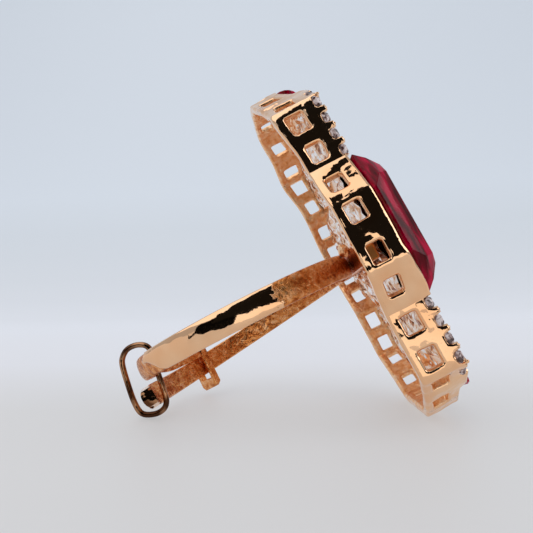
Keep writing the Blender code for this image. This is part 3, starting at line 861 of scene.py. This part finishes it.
def strip_ring(angle, low_y, high_y, inner, outer):
    """A closed section: flat inside, gently domed outside, with soft edges."""
    middle_y, half_width = (low_y + high_y) / 2, (high_y - low_y) / 2
    edge = min(STRIP_EDGE, half_width * STRIP_EDGE_SHARE)
    soft = edge * STRIP_EDGE_SOFTNESS
    section = [(inner, edge - half_width), (inner, half_width - edge),
               (inner + soft, half_width - soft), (inner + edge, half_width),
               (outer - STRIP_RIM, half_width)]
    for step in range(DOME_STEPS + 1):
        across = 1 - 2 * step / DOME_STEPS
        dome = (1 - abs(across) ** DOME_SQUARENESS) * DOME_HEIGHT
        section.append((outer - DOME_HEIGHT + dome, across * (half_width - DOME_INSET)))
    section += [(outer - STRIP_RIM, -half_width), (inner + edge, -half_width),
                (inner + soft, soft - half_width)]
    return [turned(radius, middle_y + y, angle) for radius, y in section]


def spread(arc, steps):
    """Angles at even steps along an arc."""
    start, end = arc
    return [start + (end - start) * index / steps for index in range(steps + 1)]


def build_near_strip(material, under_material):
    """A polished strip with a chamfered tip over a coppery one that runs on under it."""
    low, high = BAND_Y - STRIP_HALF_WIDTH, BAND_Y + STRIP_HALF_WIDTH
    rings = [strip_ring(angle, low + ease(angle, *CHAMFER), high - ease(angle, *TIP),
                        BAND_INNER + POLISHED_LIFT, BAND_OUTER)
             for angle in spread((NEAR_ARC[0], POLISHED_END), NEAR_STEPS)]
    strip = add_piece("near_strip_polished", loft(rings), material, HEAD_BODY, ("near_strip",))
    rings = [strip_ring(angle, low + UNDER_INSET, high - UNDER_INSET, BAND_INNER,
                        BAND_OUTER - UNDER_DROP) for angle in spread(NEAR_ARC, NEAR_STEPS)]
    under = add_piece("near_strip_underside", loft(rings), under_material, HEAD_BODY)
    for piece in (strip, under):
        weighted_normals(piece)


def build_far_strip(material, polished, end_material):
    """A strip cast rough inside, polished outside, with a cut end that curls away."""
    rings = []
    for angle in spread(FAR_ARC, FAR_STEPS):
        curl = ease(-angle, *FAR_CURL)
        half_width = STRIP_HALF_WIDTH - ease(-angle, *FAR_NARROWING)
        rings.append(strip_ring(angle, -half_width, half_width, BAND_INNER + curl,
                                BAND_OUTER + curl))
    mesh_data = loft(rings)
    for face in mesh_data.faces:
        centre = face.calc_center_median()
        curled = centre.z < 0 and centre.x < CURLED_X
        outside = (centre.x ** 2 + centre.z ** 2) ** 0.5 > BAND_OUTER - OUTSIDE_DEPTH
        face.material_index = 1 if curled or outside else 0
    mesh_data.faces.ensure_lookup_table()
    # The cut end face takes the wire's material, painted near-black for its dark reflection
    mesh_data.faces[-1].material_index = 2
    skew = (Matrix.Translation((0, BAND_Y, BAND_OUTER)) @ Matrix.Rotation(radians(-FAR_SKEW), 4, "X")
            @ Matrix.Translation((0, 0, -BAND_OUTER)))
    bmesh.ops.transform(mesh_data, matrix=skew, verts=mesh_data.verts)
    strip = add_piece("far_strip_cast", mesh_data, material, FAR_BODY, ("far_strip",))
    strip.data.materials.append(polished)
    strip.data.materials.append(end_material)
    weighted_normals(strip)


def closed_spline(points, steps):
    """Catmull-Rom curve through a closed list of vectors."""
    path = []
    count = len(points)
    for index in range(count):
        before, first, second, after = (points[(index + shift) % count] for shift in (-1, 0, 1, 2))
        for step in range(steps):
            t = step / steps
            path.append(0.5 * (2 * first + (second - before) * t
                               + (2 * before - 5 * first + 4 * second - after) * t * t
                               + (3 * first - before - 3 * second + after) * t * t * t))
    return path


def build_wire_loop(material):
    """A hand-bent loop of round wire, a little uneven."""
    path = closed_spline([Vector((LOOP_X, y, z)) for y, z in LOOP_BENDS], LOOP_STEPS)
    rings = wire_rings(path, LOOP_RADIUS, LOOP_SIDES)
    loop = add_piece("wire_loop_bent", loft(rings, closed=True), material, FAR_BODY, ("wire_loop",))


def build_keeper(material):
    """A narrow strap bent round the far strip, with its ends up against the tongue."""
    mesh_data = filled_sheet("keeper", (KEEPER_OUTER, KEEPER_INNER), KEEPER_HALF_WIDTH, KEEPER_LIP, 3)
    for vert in mesh_data.verts:
        y, radius, along = vert.co
        vert.co = Vector((along, y, radius))
    bmesh.ops.rotate(mesh_data, matrix=Matrix.Rotation(radians(-KEEPER_ANGLE), 3, "Y"),
                     verts=mesh_data.verts)
    keeper = add_piece("keeper_strap", mesh_data, material, HEAD_BODY, ("keeper",))
    weighted_normals(keeper)


def build_tongue(material):
    """The thin springy strap under both strips, wider towards the keeper."""
    rings = []
    for angle in spread(TONGUE_ARC, TONGUE_STEPS):
        wider = ease(angle, *TONGUE_WIDENING)
        lower = ease(angle, *TONGUE_LOWERING)
        rings.append([turned(radius - lower, y - wider * share, angle)
                      for radius, y, share in TONGUE_SECTION])
    tongue = add_piece("tongue_strap", loft(rings), material, HEAD_BODY, ("tongue",))
    weighted_normals(tongue)


def build_solder(material):
    """The lump of solder where the shank meets the head."""
    mesh_data = bmesh.new()
    bmesh.ops.create_icosphere(mesh_data, subdivisions=4, radius=1.0)
    for vert in mesh_data.verts:
        rough = 1 + sum(amount * noise.noise(vert.co * waves) for amount, waves in SOLDER_WAVES)
        stretched = Vector([part * half for part, half in zip(vert.co, SOLDER_SIZE)])
        vert.co = stretched * rough + Vector(SOLDER_PLACE)
    add_piece("solder_lump", mesh_data, material, HEAD_BODY)


# ---------------------------------------------------------------- stage

def reflections_only(card):
    card.visible_camera = False
    card.visible_diffuse = False
    card.visible_shadow = False
    card.visible_transmission = False


def build_backdrop():
    """One pale sheet that runs flat under the ring and sweeps up behind it."""
    material, tree, shader = new_material("pale_backdrop")
    coords = object_coords(tree)
    axes = tree.nodes.new("ShaderNodeSeparateXYZ")
    tree.links.new(coords, axes.inputs["Vector"])
    fibre = add_noise(tree, coords, 900.0, 4.0)
    shader.inputs["Roughness"].default_value = 0.55
    tree.links.new(add_ramp(tree, axes.outputs["Z"], PALE), shader.inputs["Base Color"])
    add_bump(tree, shader, ((fibre, 0.01 * MM, 0.3),))
    # Painted light: the glow lightens shadows on the floor and brightens the sweep behind the ring
    glow = add_ramp(tree, add_math(tree, "MULTIPLY", axes.outputs["Y"], PAINTED_GLOW_SPREAD), PAINTED_BACKDROP_GLOW)
    tree.links.new(glow, shader.inputs["Emission Color"])
    shader.inputs["Emission Strength"].default_value = 1.0
    profile = [(BACKDROP_FRONT, 0.0), (SWEEP_START, 0.0)]
    for step in range(1, SWEEP_STEPS + 1):
        angle = radians(90 * step / SWEEP_STEPS)
        profile.append((SWEEP_START + SWEEP_RADIUS * sin(angle), SWEEP_RADIUS * (1 - cos(angle))))
    profile.append((SWEEP_START + SWEEP_RADIUS, BACKDROP_TOP))
    mesh_data = bmesh.new()
    rows = [[mesh_data.verts.new((x, y, z)) for y, z in profile]
            for x in (-BACKDROP_HALF_WIDTH, BACKDROP_HALF_WIDTH)]
    for index in range(len(profile) - 1):
        mesh_data.faces.new((rows[0][index], rows[0][index + 1],
                             rows[1][index + 1], rows[1][index]))
    mesh = bpy.data.meshes.new("backdrop")
    mesh_data.to_mesh(mesh)
    mesh_data.free()
    mesh.polygons.foreach_set("use_smooth", [True] * len(mesh.polygons))
    backdrop = bpy.data.objects.new("backdrop", mesh)
    backdrop.data.materials.append(material)
    bpy.context.scene.collection.objects.link(backdrop)


def build_card(name, x_range, z_range, glow):
    """A black or glowing card beside the lens that only reflections see."""
    material, _, shader = new_material(name)
    shader.inputs["Base Color"].default_value = (0.004, 0.004, 0.004, 1.0)
    shader.inputs["Emission Color"].default_value = (1.0, 0.98, 0.94, 1.0)
    shader.inputs["Emission Strength"].default_value = glow
    shader.inputs["Roughness"].default_value = 1.0
    shader.inputs["Specular IOR Level"].default_value = 0.0
    mesh = bpy.data.meshes.new(name)
    corners = [(x_range[0], z_range[0]), (x_range[1], z_range[0]),
               (x_range[1], z_range[1]), (x_range[0], z_range[1])]
    mesh.from_pydata([(x * MM, CARD_Y * MM, z * MM) for x, z in corners], [], [(0, 1, 2, 3)])
    card = bpy.data.objects.new(name, mesh)
    card.data.materials.append(material)
    bpy.context.scene.collection.objects.link(card)
    reflections_only(card)


def add_area_light(name, place, size, power, color):
    light = bpy.data.lights.new(name, "AREA")
    light.shape = "RECTANGLE"
    light.size, light.size_y = size
    light.energy = power
    light.color = color
    lamp = bpy.data.objects.new(name, light)
    lamp.location = place
    lamp.rotation_euler = (Vector(LAMP_TARGET) - Vector(place)).to_track_quat("-Z", "Y").to_euler()
    bpy.context.scene.collection.objects.link(lamp)


def build_world():
    bpy.context.scene.view_settings.view_transform = "Standard"
    world = bpy.data.worlds.new("studio")
    world.use_nodes = True
    bpy.context.scene.world = world
    background = world.node_tree.nodes["Background"]
    background.inputs["Color"].default_value = STUDIO_COLOR
    background.inputs["Strength"].default_value = STUDIO_STRENGTH


def build_camera():
    data = bpy.data.cameras.new("camera")
    data.lens = CAMERA_LENS
    data.sensor_width = SENSOR_WIDTH
    data.clip_start = MM
    camera = bpy.data.objects.new("camera", data)
    camera.location = Vector(CAMERA_PLACE) * MM
    camera.rotation_euler = Euler([radians(turn) for turn in CAMERA_TURN])
    bpy.context.scene.collection.objects.link(camera)
    bpy.context.scene.camera = camera


# ---------------------------------------------------------------- the scene

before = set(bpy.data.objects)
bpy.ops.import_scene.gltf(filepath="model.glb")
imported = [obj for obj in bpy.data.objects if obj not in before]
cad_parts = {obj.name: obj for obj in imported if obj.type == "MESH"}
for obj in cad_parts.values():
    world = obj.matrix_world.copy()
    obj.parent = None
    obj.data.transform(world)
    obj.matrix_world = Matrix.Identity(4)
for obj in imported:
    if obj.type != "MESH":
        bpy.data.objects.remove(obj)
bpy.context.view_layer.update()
gold = polished_gold()
copper = cast_copper("cast_copper", DARK_COPPER)
# Lighter copy of the cast copper, painted light for the wall's inside; on the solder it is the solder's
# own tone
lit_wall_and_solder_copper = cast_copper("cast_copper_light", LIT_WALL_AND_SOLDER_COPPER, (0.28, 0.5))
painted_dark_gold = gold_painted_dark()
ruby = ruby_glass()
crystal = clear_glass()

# CAD pieces that stay in sight take the look of what they are made of
for node_name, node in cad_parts.items():
    node.data.materials.clear()
    if node_name.startswith("clear_stone"):
        node.data.materials.append(crystal)
    elif node_name.startswith("red_accent") or node_name.endswith("_stone"):
        node.data.materials.append(ruby)
    elif node_name.endswith(("_panel", "_plate", "_seat")):
        node.data.materials.append(gold)
    else:
        node.data.materials.append(copper)

build_wall(gold, lit_wall_and_solder_copper)
build_centre_stone(ruby)
build_small_stones(crystal, ruby)
build_beads(gold)
build_upper_tab(gold)
build_backing(crumpled_foil())
build_near_strip(strip_gold(), copper)
build_far_strip(copper, gold, painted_dark_gold)
build_tongue(copper)
build_wire_loop(painted_dark_gold)
build_keeper(copper)
build_solder(lit_wall_and_solder_copper)

build_backdrop()
for card_settings in CARDS:
    build_card(*card_settings)
for lamp_settings in LAMPS:
    add_area_light(*lamp_settings)
build_world()
build_camera()
